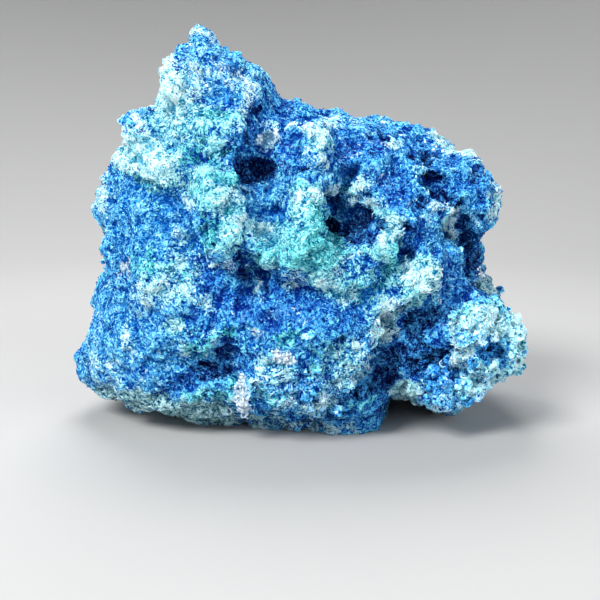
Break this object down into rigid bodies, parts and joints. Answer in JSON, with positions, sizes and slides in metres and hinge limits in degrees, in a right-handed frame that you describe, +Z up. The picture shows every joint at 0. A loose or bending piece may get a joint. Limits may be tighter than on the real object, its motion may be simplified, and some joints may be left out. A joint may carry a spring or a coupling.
{
  "type": "shattuckite mineral specimen",
  "caption": "Rough hand specimen of shattuckite: a matted blue stone with pale mint crusts, a peaked crown, a knobbed lobe and clefts, resting on a flat broken face.",
  "frame": {"origin": "under the middle of the stone's bounding box, on the flat broken face that it rests on", "axes": "+Z up, -Y towards the viewer of the pictured face, +X to that viewer's right"},
  "size_m": [0.0802, 0.0598, 0.069],
  "materials": {
    "shattuckite": "matted fibrous blue mineral with pale mint crusts, rough and dull to silky"
  },
  "bodies": {
    "root": {"stone": "shattuckite"}
  },
  "joints": []
}
